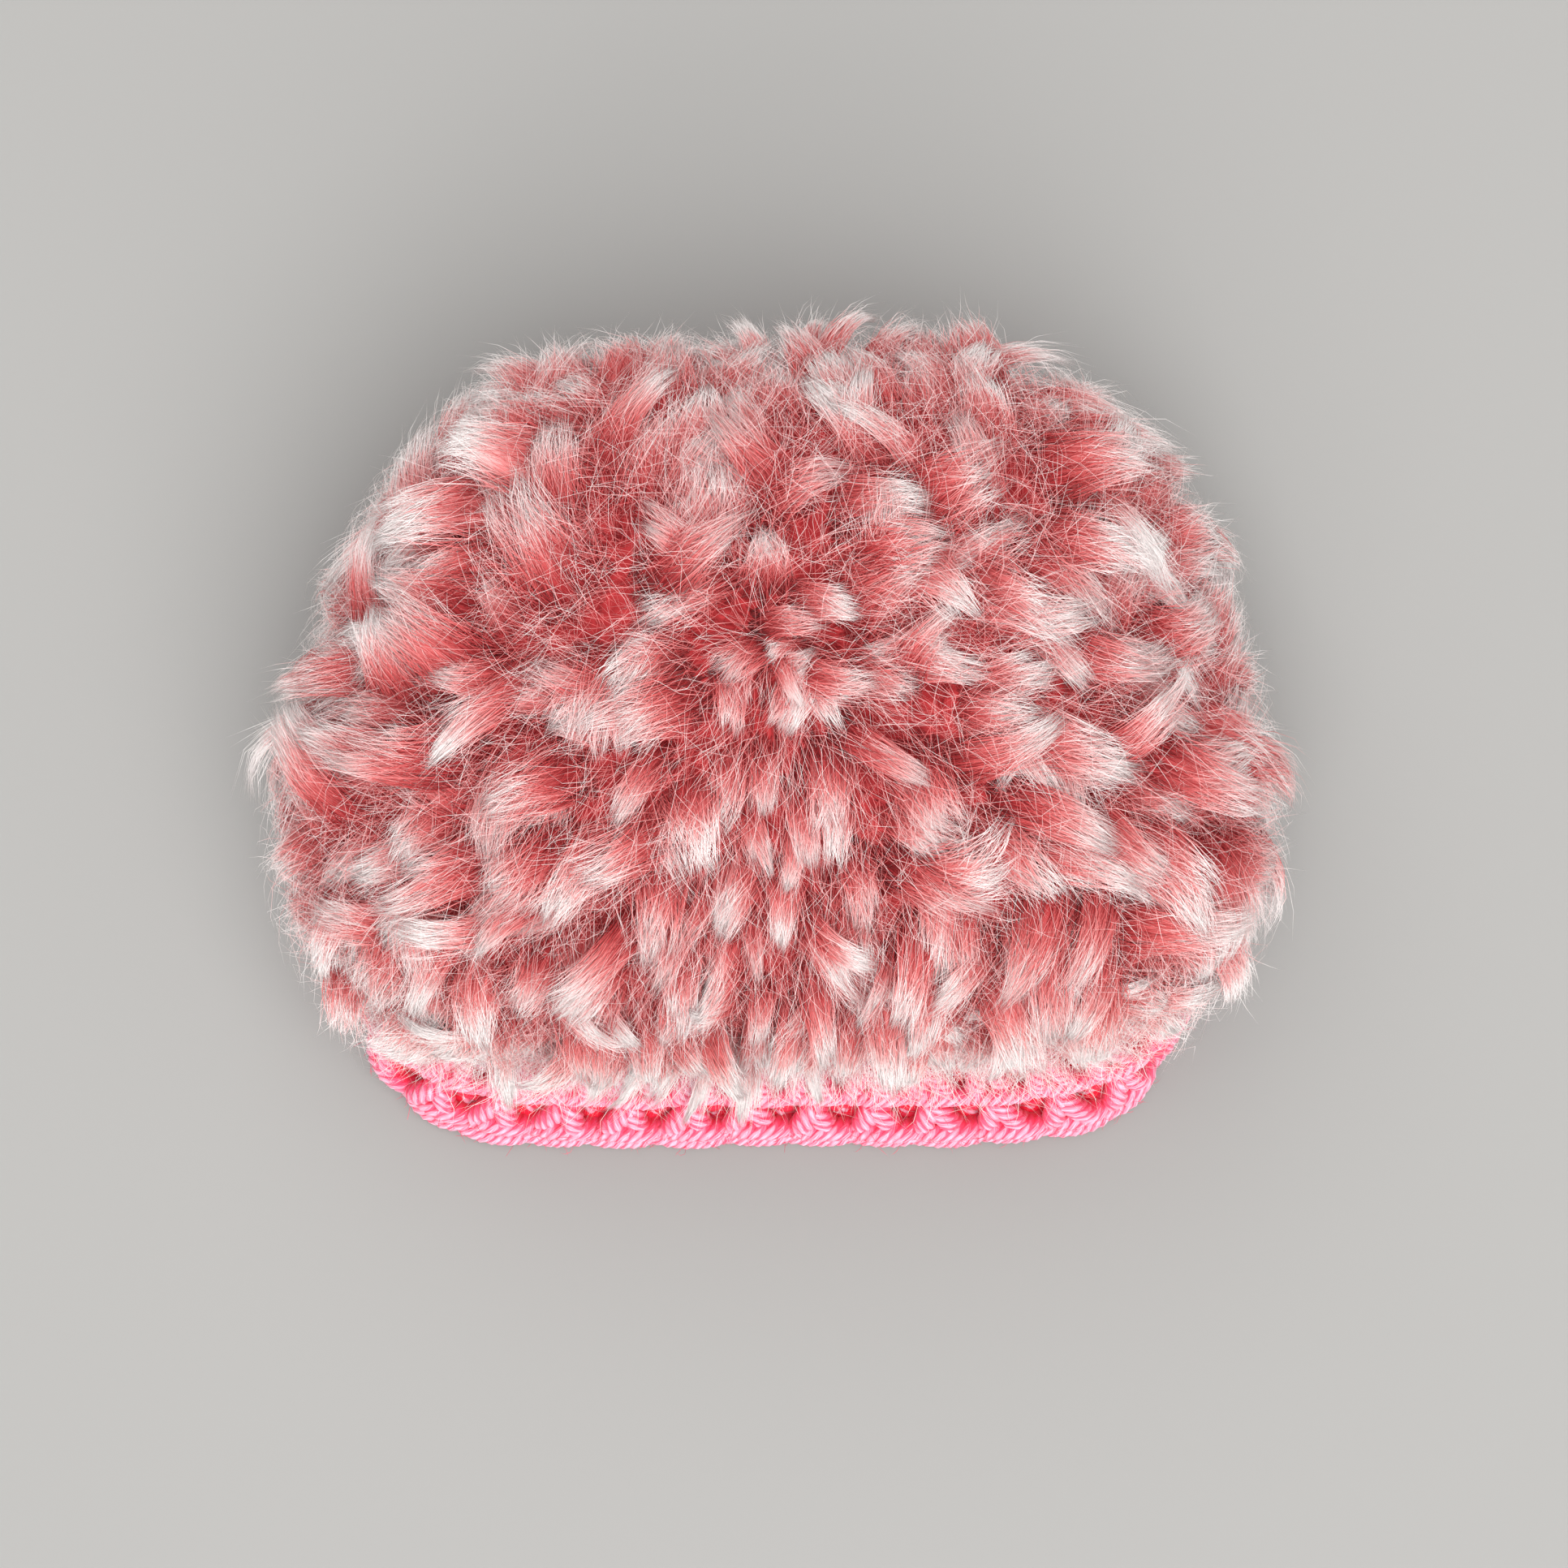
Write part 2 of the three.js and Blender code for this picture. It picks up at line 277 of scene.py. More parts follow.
def plied_yarn(paths, outward, radius, plies, twist_pitch, sides=6):
    """Yarn of several twisted plies along (n, m) paths."""
    m = paths.shape[1]
    along = unit(np.gradient(paths, axis=1))
    first = unit(outward - (outward * along).sum(-1, keepdims=True) * along)
    second = np.cross(along, first)
    steps = np.linalg.norm(np.diff(paths, axis=1), axis=-1)
    length = np.concatenate([np.zeros((len(paths), 1)), np.cumsum(steps, 1)], 1)
    start = rng.uniform(0, TAU, (len(paths), 1))
    packing = 1 / (1 + 1 / np.sin(np.pi / plies))       # a ply's radius, as a share of the yarn's
    ply_radius = radius * packing * PLY_FULLNESS
    shares = np.linspace(0, 1, m)
    made = []
    for ply in range(plies):
        turn = -TAU * length / twist_pitch + TAU * ply / plies + start
        spoke = np.cos(turn)[..., None] * first + np.sin(turn)[..., None] * second
        centre = paths + radius * (1 - packing) * spoke
        made.append(tubes(centre, outward, ply_radius, sides, shares, spoke, centre - paths, radius))
    return made


def yarn_fuzz(paths, outward, radius, per_strand):
    """Short loose fibres that stand off the outer side of the yarn."""
    n, m = paths.shape[:2]
    strand = np.repeat(np.arange(n), per_strand)
    place = rng.integers(1, m - 1, len(strand))
    along = unit(np.gradient(paths, axis=1))[strand, place]
    first = outward[strand, place]
    first = unit(first - (first * along).sum(-1, keepdims=True) * along)
    turn = rng.normal(0, FUZZ_SPREAD, (len(strand), 1))
    spoke = np.cos(turn) * first + np.sin(turn) * np.cross(along, first)
    heading = rng.choice([-1, 1], turn.shape) * along + FUZZ_LIFT * spoke
    heading = unit(heading + rng.normal(0, FUZZ_WANDER, along.shape))
    s = FUZZ_SHARES[:, None]
    reach = rng.uniform(*FUZZ_LENGTH, (len(strand), 1, 1))
    curl = rng.normal(0, FUZZ_CURL, (len(strand), 1, 3)) * reach * np.sin(np.pi * s)
    root = paths[strand, place] + FUZZ_ROOT * radius * spoke
    made = root[:, None] + heading[:, None] * reach * s + curl
    radii = FUZZ_RADII * np.ones((len(strand), 1))
    return fibres(made, radii, np.full(len(strand), FUZZ_U), np.full(radii.shape, FUZZ_V))


def smooth_path(knots, count):
    """A smooth curve through a few knots, sampled evenly in its parameter."""
    knots = np.asarray(knots, float)
    t = np.linspace(0, len(knots) - 1, count)
    return np.stack([at_station(knots[:, i], t) for i in range(knots.shape[1])], -1)


# ---- materials ----------------------------------------------------------------------------------------

TONE_EFFECT = 0.42          # how far a fibre's tone moves its colours along it
SEE_THROUGH = 0.36          # the share of the light that passes into the pile
GRAIN_EFFECT = 0.5          # how far the yarn's fine fibres change its colour
GRAIN_DEPTH = 0.12 * MM


def new_material(name, roughness, sheen=0.0, sheen_tint=(1, 1, 1, 1)):
    material = bpy.data.materials.new(name)
    material.use_nodes = True
    shader = material.node_tree.nodes["Principled BSDF"]
    shader.inputs["Roughness"].default_value = roughness
    shader.inputs["Specular IOR Level"].default_value = 0.15
    shader.inputs["Sheen Weight"].default_value = sheen
    shader.inputs["Sheen Roughness"].default_value = 0.5
    shader.inputs["Sheen Tint"].default_value = sheen_tint
    return material, material.node_tree.nodes, material.node_tree.links, shader


def ramp(nodes, stops):
    """A colour ramp through (place, linear colour) stops."""
    node = nodes.new("ShaderNodeValToRGB")
    elements = node.color_ramp.elements
    elements[0].position, elements[0].color = stops[0][0], (*stops[0][1], 1)
    elements[1].position, elements[1].color = stops[-1][0], (*stops[-1][1], 1)
    for place, colour in stops[1:-1]:
        elements.new(place).color = (*colour, 1)
    return node


def uv_channels(nodes, links):
    uv = nodes.new("ShaderNodeUVMap")
    uv.uv_map = BAKE_UV
    split = nodes.new("ShaderNodeSeparateXYZ")
    links.new(uv.outputs["UV"], split.inputs[0])
    return uv, split.outputs["X"], split.outputs["Y"]


def math_node(nodes, links, operation, first, second):
    node = nodes.new("ShaderNodeMath")
    node.operation = operation
    for socket, value in zip(node.inputs, (first, second)):
        if isinstance(value, (int, float)):
            socket.default_value = value
        else:
            links.new(value, socket)
    return node.outputs[0]


def pile_material():
    """Frosted pile: deep coral at the root, darkened further there with painted shade for the crevices among
    the roots, salmon along the fibre and nearly white at the tip. U is the fibre's own tone: pale fibres
    frost sooner."""
    material, nodes, links, shader = new_material("frosted_pile", 0.6, 0.15, (1, 0.75, 0.75, 1))
    _, tone, along = uv_channels(nodes, links)
    from_middle = math_node(nodes, links, "SUBTRACT", tone, 0.5)
    shift = math_node(nodes, links, "MULTIPLY", from_middle, TONE_EFFECT)
    place = math_node(nodes, links, "ADD", along, shift)
    # the first stops, deeper than the pile's own coral, are painted shade for the crevices among the roots
    colours = ramp(nodes, [
        (0.0, (0.26, 0.006, 0.010)),
        (0.20, (0.52, 0.040, 0.045)),
        (0.40, (0.77, 0.165, 0.165)),
        (0.57, (0.88, 0.36, 0.355)),
        (0.71, (0.96, 0.69, 0.68)),
        (0.84, (1.0, 0.96, 0.95)),
    ])
    links.new(place, colours.inputs[0])
    links.new(colours.outputs["Color"], shader.inputs["Base Color"])
    through = nodes.new("ShaderNodeBsdfTranslucent")
    links.new(colours.outputs["Color"], through.inputs["Color"])
    mix = nodes.new("ShaderNodeMixShader")
    mix.inputs[0].default_value = SEE_THROUGH
    links.new(shader.outputs[0], mix.inputs[1])
    links.new(through.outputs[0], mix.inputs[2])
    links.new(mix.outputs[0], nodes["Material Output"].inputs["Surface"])
    return material


def yarn_material(name, valley, flank, crest):
    """Soft spun yarn, finely fibrous, with painted shade deep in colour between plies and strands and a
    painted highlight pale on their crests.
    """
    material, nodes, links, shader = new_material(name, 0.6, 0.25, (1, 0.7, 0.8, 1))
    uv, stand, _ = uv_channels(nodes, links)
    stretch = nodes.new("ShaderNodeMapping")
    stretch.inputs["Scale"].default_value = (12, 6, 1)
    links.new(uv.outputs["UV"], stretch.inputs["Vector"])
    fibre = nodes.new("ShaderNodeTexNoise")
    fibre.inputs["Scale"].default_value = 2.2
    fibre.inputs["Detail"].default_value = 4
    links.new(stretch.outputs["Vector"], fibre.inputs["Vector"])
    from_middle = math_node(nodes, links, "SUBTRACT", fibre.outputs["Fac"], 0.5)
    grain = math_node(nodes, links, "MULTIPLY", from_middle, GRAIN_EFFECT)
    # painted shade in the hollows between plies and strands, painted highlight on their crests
    colours = ramp(nodes, [(0.58, valley), (0.83, flank), (1.0, crest)])
    links.new(math_node(nodes, links, "ADD", stand, grain), colours.inputs[0])
    links.new(colours.outputs["Color"], shader.inputs["Base Color"])
    bump = nodes.new("ShaderNodeBump")
    bump.inputs["Strength"].default_value = 0.35
    bump.inputs["Distance"].default_value = GRAIN_DEPTH
    links.new(fibre.outputs["Fac"], bump.inputs["Height"])
    links.new(bump.outputs["Normal"], shader.inputs["Normal"])
    return material


frosted_pile = pile_material()
# Each yarn's valley colour is painted shade and its crest colour a painted highlight.
pink_yarn = yarn_material("pink_yarn", (0.68, 0.004, 0.03), (0.65, 0.062, 0.135), (0.70, 0.385, 0.49))
coral_core = yarn_material("coral_core", (0.26, 0.010, 0.014), (0.36, 0.026, 0.03), (0.46, 0.06, 0.062))

# ---- crochet stitches ---------------------------------------------------------------------------------

# Knots of one stitch's strands: (across in stitches, down in rounds, outward in mm). The two legs of a
# stitch leave one hole in the round above and spread towards the rim, where a chain of loops closes it.
LEG = [(0.10, -0.34, -1.3), (0.05, -0.22, 0.3), (-0.05, 0.02, 1.6), (-0.16, 0.34, 2.0),
       (-0.25, 0.66, 1.5), (-0.28, 0.90, 0.3), (-0.20, 1.02, -1.2)]
# The bar across the back of a stitch, which shows only inside the hat.
BACK_BAR = [(-0.32, 0.92, -0.9), (-0.14, 0.55, -1.7), (0.12, 0.45, -1.9), (0.34, 0.80, -1.0)]
# The post behind the gap between two stitches.
BACK_POST = [(0.44, -0.20, -1.9), (0.52, 0.15, -1.3), (0.48, 0.50, -1.2), (0.54, 0.95, -1.9)]
# The loops lie along the round: each springs from between the arms of the one before it.
FRONT_ARM = [(-0.60, 0.94, -0.5), (-0.42, 0.86, 0.6), (-0.10, 0.72, 1.9), (0.22, 0.70, 2.1),
             (0.48, 0.78, 1.3), (0.70, 0.92, -0.4)]
BACK_ARM = [(-0.62, 1.08, -0.5), (-0.40, 1.14, 0.3), (-0.08, 1.19, 0.7), (0.24, 1.20, 0.7),
            (0.50, 1.17, 0.4), (0.74, 1.10, -0.5)]
DRIFT = np.array([0.13, 0.10, 0.9])     # how unevenly the strands lie, in the same three directions


def mirrored(knots):
    return [(-across, down, outward) for across, down, outward in knots]


def stitch_paths(knots, count, first_station, last_station, stitches, reference, looseness):
    """One strand for every stitch of a round, laid on the fabric. Each gets its own small unevenness."""
    shape = smooth_path(knots, count)
    drift = rng.normal(size=(stitches, 1, 3)) * looseness * DRIFT
    across = (np.arange(stitches)[:, None] + shape[:, 0] + drift[..., 0]) / stitches
    down = shape[:, 1] + drift[..., 1]
    outward = shape[:, 2] + drift[..., 2]
    station = first_station + (last_station - first_station) * down
    angle = round_angles(reference, across.ravel()).reshape(across.shape)
    return off_fabric(station, angle, outward)


STRAND_SIDES = 8            # of a single thread
BRIM_YARN_RADIUS = 1.5
BRIM_PLIES = 5
BRIM_TWIST = 5.6            # the yarn's length in one turn of its plies
BRIM_FUZZ = 12              # loose fibres on each strand
BRIM_STITCH = 7.7           # the width of a stitch, round the hat
BRIM_LOOSENESS = 0.2
BRIM_STRAND_POINTS = 20
BACK_STRAND_PLACES = (0.0, 0.33, 0.66, 0.96)    # down the round
BACK_STRAND_RADIUS = 1.3
BACK_STRAND_DEPTH = 0.9     # behind the middle of the fabric
BACK_STRAND_WEAVE = 0.3     # how far they pass in and out of the fabric
BACK_STRAND_PAINTED_SHADE = 0.66    # painted shade: the strands behind the stitches take this share of their U, so they stay deep in colour
BRIM_REFERENCE = 8          # the station that the brim's stitches are spaced along
EDGE_STATION = 8.72         # where the edge round ends, so that its loops rest on the floor
brim_stitches = int(round(round_length(BRIM_REFERENCE) / BRIM_STITCH))


def back_strands(first_station, last_station):
    """The strands that run round the hat behind a round's stitches, seen only through the gaps and darkened
    with painted shade.
    """
    angle = np.linspace(0, TAU, 8 * brim_stitches + 1)
    place = np.array(BACK_STRAND_PLACES)[:, None]
    station = first_station + (last_station - first_station) * place + 0 * angle
    weave = -BACK_STRAND_DEPTH + BACK_STRAND_WEAVE * np.sin(brim_stitches * angle + 5 * place)
    paths, outward = off_fabric(station, angle + 0 * station, weave)
    points, faces = tubes(paths, outward, BACK_STRAND_RADIUS, STRAND_SIDES, np.linspace(0, 1, len(angle)))
    # painted shade on the strands behind the stitches
    return points, [(corners, uv * (BACK_STRAND_PAINTED_SHADE, 1)) for corners, uv in faces]


def brim_round(name, node, first_station, last_station, loops):
    """One round of the brim as two pieces: the legs of its stitches, and the loops that close them."""
    def lay(knots):
        return stitch_paths(
            knots, BRIM_STRAND_POINTS, first_station, last_station,
            brim_stitches, BRIM_REFERENCE, BRIM_LOOSENESS,
        )

    for kind, strands in (("legs", [LEG, mirrored(LEG), BACK_POST]), ("loops", loops)):
        parts = []
        for knots in strands:
            paths, outward = lay(knots)
            parts += plied_yarn(paths, outward, BRIM_YARN_RADIUS, BRIM_PLIES, BRIM_TWIST)
            parts.append(yarn_fuzz(paths, outward, BRIM_YARN_RADIUS, BRIM_FUZZ))
        if kind == "loops":
            parts.append(back_strands(first_station, last_station))
        parts = [(rest_on_floor(points), faces) for points, faces in parts]
        add_piece(f"{name}_{kind}", parts, pink_yarn, node)


brim_round("brim_round_1", "brim_round_1", FUR_END, FUR_END + 1, [FRONT_ARM])
brim_round("brim_round_2", "brim_round_2", FUR_END + 1, FUR_END + 2, [FRONT_ARM])
brim_round("brim_edge", "brim_edge_round", FUR_END + 2, EDGE_STATION, [FRONT_ARM, BACK_ARM])

# The fur rounds' core thread, thick with the short ends of its own pile.
CORE_RADIUS = 1.5
CORE_STITCH = 8.4
CORE_FLATNESS = 0.5         # its strands stand out this far, beside the brim's
CORE_LOOSENESS = 0.3
CORE_STRAND_POINTS = 14


def core_round(number):
    reference = number + 0.5
    stitches = max(int(round(round_length(reference) / CORE_STITCH)), 6)
    parts = []
    for knots in (LEG, mirrored(LEG), FRONT_ARM, BACK_BAR):
        shape = [(across, down, outward * CORE_FLATNESS) for across, down, outward in knots]
        paths, outward = stitch_paths(
            shape, CORE_STRAND_POINTS, number, number + 1, stitches, reference, CORE_LOOSENESS
        )
        shares = np.linspace(0, 1, CORE_STRAND_POINTS)
        parts.append(tubes(paths, outward, CORE_RADIUS, STRAND_SIDES, shares))
    add_piece(f"fur_round_{number}_core", parts, coral_core, f"fur_round_{number}")


for number in range(1, FUR_ROUNDS + 1):
    core_round(number)

# The magic ring: two turns of the core thread, drawn shut.
RING_TURNS = 2
RING_POINTS = 60
RING_FIRST_STATION = 0.45
RING_GROWTH = 0.22          # stations from one turn to the next
turns = np.linspace(0, RING_TURNS * TAU, RING_POINTS)
ring_station = RING_FIRST_STATION + RING_GROWTH * turns / TAU
ring_path, ring_out = off_fabric(ring_station, turns, np.zeros(RING_POINTS))
ring_shares = np.linspace(0, 1, RING_POINTS)
add_piece(
    "magic_ring_core",
    [tubes(ring_path[None], ring_out[None], CORE_RADIUS, STRAND_SIDES, ring_shares)],
    coral_core, "magic_ring",
)

# ---- woven-in yarn ends -------------------------------------------------------------------------------

TAIL_POINTS = 40
TAIL_WEAVE = 0.5            # how far a tail passes in and out of the fabric, and how often
TAIL_WAVES = 9
TAIL_PLIES = 3
TAIL_TWIST = 5.0
# Node, first and last (station, degrees), depth behind the fabric, radius, material and slot.
TAILS = [
    ("fur_start_tail", (1.3, 100), (3.0, 70), 3.6, 1.1, coral_core, "fur_core"),
    ("fur_end_tail", (5.6, 84), (5.4, 46), 3.6, 1.1, coral_core, "fur_core"),
    ("brim_start_tail", (6.5, 96), (6.5, 132), 4.4, 1.3, pink_yarn, "brim_yarn"),
    ("brim_end_tail", (8.3, 88), (8.3, 50), 4.4, 1.3, pink_yarn, "brim_yarn"),
]
for node, (from_station, from_angle), (to_station, to_angle), depth, radius, material, slot in TAILS:
    t = np.linspace(0, 1, TAIL_POINTS)
    station = from_station + (to_station - from_station) * t
    angle = np.radians(from_angle + (to_angle - from_angle) * t)
    weave = -depth + TAIL_WEAVE * np.sin(t * TAIL_WAVES)
    path, out = off_fabric(station, angle, weave)
    parts = plied_yarn(path[None], out[None], radius, TAIL_PLIES, TAIL_TWIST)
    parts = [(rest_on_floor(points), faces) for points, faces in parts]
    add_piece(f"{node}_yarn", parts, material, node)

# ---- the pile -----------------------------------------------------------------------------------------

FIBRE_SHARES = np.array([0, 0.25, 0.5, 0.76, 1.0])
FIBRE_TAPER = np.array([1.0, 1.0, 0.9, 0.65, 0.0])
UNDERCOAT_SHARES = FIBRE_SHARES * 0.85          # its tips aren't frosted
FRIZZ_SHARES = 0.18 + FIBRE_SHARES * 0.75       # nor are the frizz's roots deep in colour
FIBRE_RADIUS = 0.052
FIBRE_RADIUS_LIMITS = (0.75, 1.15)      # beside that radius
MOST_FIBRES = 8800          # in one object
STATIONS = np.arange(RIM + 1)
EVEN_REACH = 0.93           # a round's mean reach, beside its reach to the side
LOWEST_FIBRE = 0.15         # above the floor

# A wisp's own values, each drawn between two limits or with a spread.
WISP_PITCH = 6.4            # between the roots of neighbouring wisps in a row
ROW_PLACES = (0.16, 0.50, 0.84)
ROUND_SHIFT = 0.3           # how far each round's wisps start past the last's, in wisps
SIDE_SHIFT = 0.32           # unevenness of the roots, in wisps round the hat and in rounds down it
DOWN_SHIFT = 0.09
SWIRL = [(3, 2.1, 0.45), (5, -1.3, 0.30)]   # waves round the hat, phase of each round, lean in radians
WISP_LENGTH = 13.5
LENGTH_LIMITS = (0.8, 1.18)
BEND_SPREAD = 0.38          # radians from root to tip
HALF_WIDTH_LIMITS = (1.7, 3.7)
POINT_LIMITS = (0.3, 0.75)  # how much narrower the tip is than the root
RISE_LIMITS = (2.2, 6.2)
STAND_OUT_RISE = 3.4        # how much higher a wisp rises that stands out of the outline
DROOP_LIMITS = (0.0, 1.6)
FRINGE_DROOP = 1.2
TONE_LIMITS = (0.26, 0.82)
SIDE_PALENESS = 0.6         # of the paleness at the front and back
BACK_PALENESS = 0.085       # added at the back for each round down
WISP_ROOT_HEIGHT = 1.7
WISP_THICKNESS = 0.5        # beside its width

# One value for each round's wisps, from the crown to the fringe.
LEAN_SPREADS = np.radians([100, 50, 31, 31, 31, 31])
LENGTHS = [0.68, 0.85, 1, 1, 1, 1]
WIDTHS = [0.8, 1, 1, 1, 1, 0.85]
BODY_LENGTHS = [0.84, 0.84, 0.84, 0.84, 0.84, 0.62]
STAND_OUT_SHARES = [0, 0, 0, 0.4, 0.45, 0.2]
# The paleness of the last two rounds is painted light: they are paler to offset the shade on the hat's steep
# lower walls.
PALENESSES_AND_PAINTED_LIGHT = [-0.15, -0.11, -0.03, 0.04, 0.27, 0.6]

# The fibres of a wisp.
WISP_FIBRES = 240
LOCKS = 5                   # pointed locks in one wisp
LOCK_PULL = 0.78            # how far a fibre's tip is drawn to the middle of its lock
LOCK_LENGTHS = (0.66, 1.14)
LOCK_SIDE = 1.25            # how far to the side a lock may lie, in half widths
LOCK_HEIGHTS = (0.1, 1.3)
LOCK_TONE = 0.14
FIBRE_TONE_SPREAD = 0.14
FIBRE_TURNS = (-0.2, 1.2)   # half turns round the body, mostly on its upper side
FIBRE_DISTANCES = (0.6, 1.2)    # from the middle of the body, in its half widths
FIBRE_STARTS = (-0.06, 0.2)
FIBRE_ENDS = (0.82, 1.0)    # beside the lock's length
FIBRE_WAVE = 0.16
FIBRE_WAVES = (1, 2.6)
FIBRE_AWAY = 0.16           # how far a fibre leaves its lock, to the side in half widths
FIBRE_LIFT = 0.25           # and upward in mm
STRAY_SHARE = 0.3
STRAY_AWAY = 1.0
STRAY_LIFT = 1.3
STRAY_THINNESS = 0.6

# The coats between and over the wisps: their density, the place and size of their fibres, and how far
# these follow the way down the hat, from 0, any way, to 1.
UNDERCOAT = {
    "per_mm2": 1.5, "radius": 0.036, "length": 6.5, "root_height": 2.2, "rise": 2.8, "order": 0.6,
}
UNDERCOAT_TONE = 0.36
# the fringe's undercoat is paler: painted light that offsets the shade on the hat's steep front
FRINGE_UNDERCOAT_PAINTED_LIGHT_TONE = 0.64
FRIZZ = {
    "per_mm2": 0.9, "radius": 0.022, "length": 8.0, "root_height": 3.0, "rise": 5.2, "order": 0.58,
    "tone": 0.78,
}
FRINGE_COAT = {
    "per_mm2": 3.4, "radius": 0.042, "length": 11.5, "root_height": 2.2, "rise": 3.6, "order": 0.82,
    "tone": 0.8,
}
COAT_CURL = 0.2             # beside a fibre's length
COAT_WAVES = (0.8, 2.2)
COAT_LENGTH_LIMITS = (0.6, 1.25)        # beside the coat's own values
COAT_RISE_LIMITS = (0.4, 1.25)
COAT_RADIUS_LIMITS = (0.8, 1.2)


def walk(depth, angle, down, around):
    """Where a step on the fabric leads: depth is the fabric's length from the crown, in mm."""
    reach = at_station(SIDE_REACH, np.interp(depth, DEPTHS, STATIONS))
    least = 0.5
    stretch = np.maximum(depth, least) / np.maximum(reach * EVEN_REACH, least)
    x = depth + down
    y = around * stretch
    return np.hypot(x, y), angle + np.arctan2(y, x)


def pile_points(depth, angle, down, around, height):
    """Points reached by steps on the fabric from a root, at a height above it, kept above the floor."""
    depth, angle = walk(depth, angle, down, around)
    points = off_fabric(np.interp(depth, DEPTHS, STATIONS), angle, height)[0]
    points[..., 2] = np.maximum(points[..., 2], LOWEST_FIBRE)
    return points


def fringe_share(angle):
    """How long the last round's wisps are at each angle: longest at the front, short to its right."""
    longest, shortest, short_width = 262, 307, 21       # degrees
    usual, longer, shorter = 0.86, 0.2, 0.3
    front = np.maximum(np.cos(angle - np.radians(longest)), 0) ** 4
    right = np.exp(-((np.degrees(angle) % 360 - shortest) / short_width) ** 2)
    return usual + longer * front - shorter * right


def wisps_of_round(number):
    """The wisps of one round, in three rows set a third of a step apart: one array for each property, shaped
    to be used with fibres and points along them."""
    rows = []
    for row, place in enumerate(ROW_PLACES):
        count = max(int(round(round_length(number + place) / WISP_PITCH)), 3)
        uneven = rng.uniform(-SIDE_SHIFT, SIDE_SHIFT, count)
        shares = (np.arange(count) + uneven + row / len(ROW_PLACES) + ROUND_SHIFT * number) / count
        angle = round_angles(number + place, shares)
        depth = np.interp(number + place + rng.normal(0, DOWN_SHIFT, count), STATIONS, DEPTHS)
        rows.append(np.stack([depth, angle]))
    depth, angle = np.concatenate(rows, 1)
    n = len(depth)
    is_fringe = number == FUR_ROUNDS
    swirl = sum(size * np.sin(waves * angle + phase * number) for waves, phase, size in SWIRL)
    lean = swirl + rng.normal(0, LEAN_SPREADS[number], n)
    length = WISP_LENGTH * rng.uniform(*LENGTH_LIMITS, n) * LENGTHS[number]
    paleness = PALENESSES_AND_PAINTED_LIGHT[number] * (SIDE_PALENESS + (1 - SIDE_PALENESS) * np.abs(np.sin(angle)))
    back = BACK_PALENESS * number * np.maximum(np.sin(angle), 0)
    wisp = {
        "depth": depth, "angle": angle, "lean": lean,
        "length": length * fringe_share(angle) if is_fringe else length,
        "bend": rng.normal(0, BEND_SPREAD, n),
        "width": rng.uniform(*HALF_WIDTH_LIMITS, n) * WIDTHS[number],
        "point": rng.uniform(*POINT_LIMITS, n),
        "body": np.full(n, BODY_LENGTHS[number]),
        "rise": rng.uniform(*RISE_LIMITS, n)
        + np.where(rng.random(n) < STAND_OUT_SHARES[number], STAND_OUT_RISE, 0),
        "droop": rng.uniform(*DROOP_LIMITS, n) + (FRINGE_DROOP if is_fringe else 0),
        "tone": rng.uniform(*TONE_LIMITS, n) + paleness + back,
    }
    return {key: value[:, None, None] for key, value in wisp.items()}


def wisp_points(wisp, s, across, up, extra_height=0.0):
    """Points of a wisp at shares s of its length. Across and up are shares of its half width and half
    thickness, which both shrink towards its point."""
    heading = wisp["lean"] + 0.5 * wisp["bend"] * s
    facing = wisp["lean"] + wisp["bend"] * s
    narrow = wisp["width"] * (1 - wisp["point"] * np.clip(s, 0, 1) ** 1.25)
    down = wisp["length"] * s * np.cos(heading) - across * narrow * np.sin(facing)
    around = wisp["length"] * s * np.sin(heading) + across * narrow * np.cos(facing)
    s_up = np.clip(s, 0, 1.1)
    height = WISP_ROOT_HEIGHT + wisp["rise"] * (1 - (1 - s_up) ** 2) - wisp["droop"] * s_up**3
    height = height + WISP_THICKNESS * up * narrow + extra_height
    return pile_points(wisp["depth"], wisp["angle"], down, around, height)


BODY_SHARES = np.array([-0.04, 0.08, 0.22, 0.38, 0.54, 0.69, 0.82])
BODY_GIRTH = np.array([0.5, 0.74, 0.78, 0.72, 0.6, 0.4, 0.0])
BODY_SIDES = 8


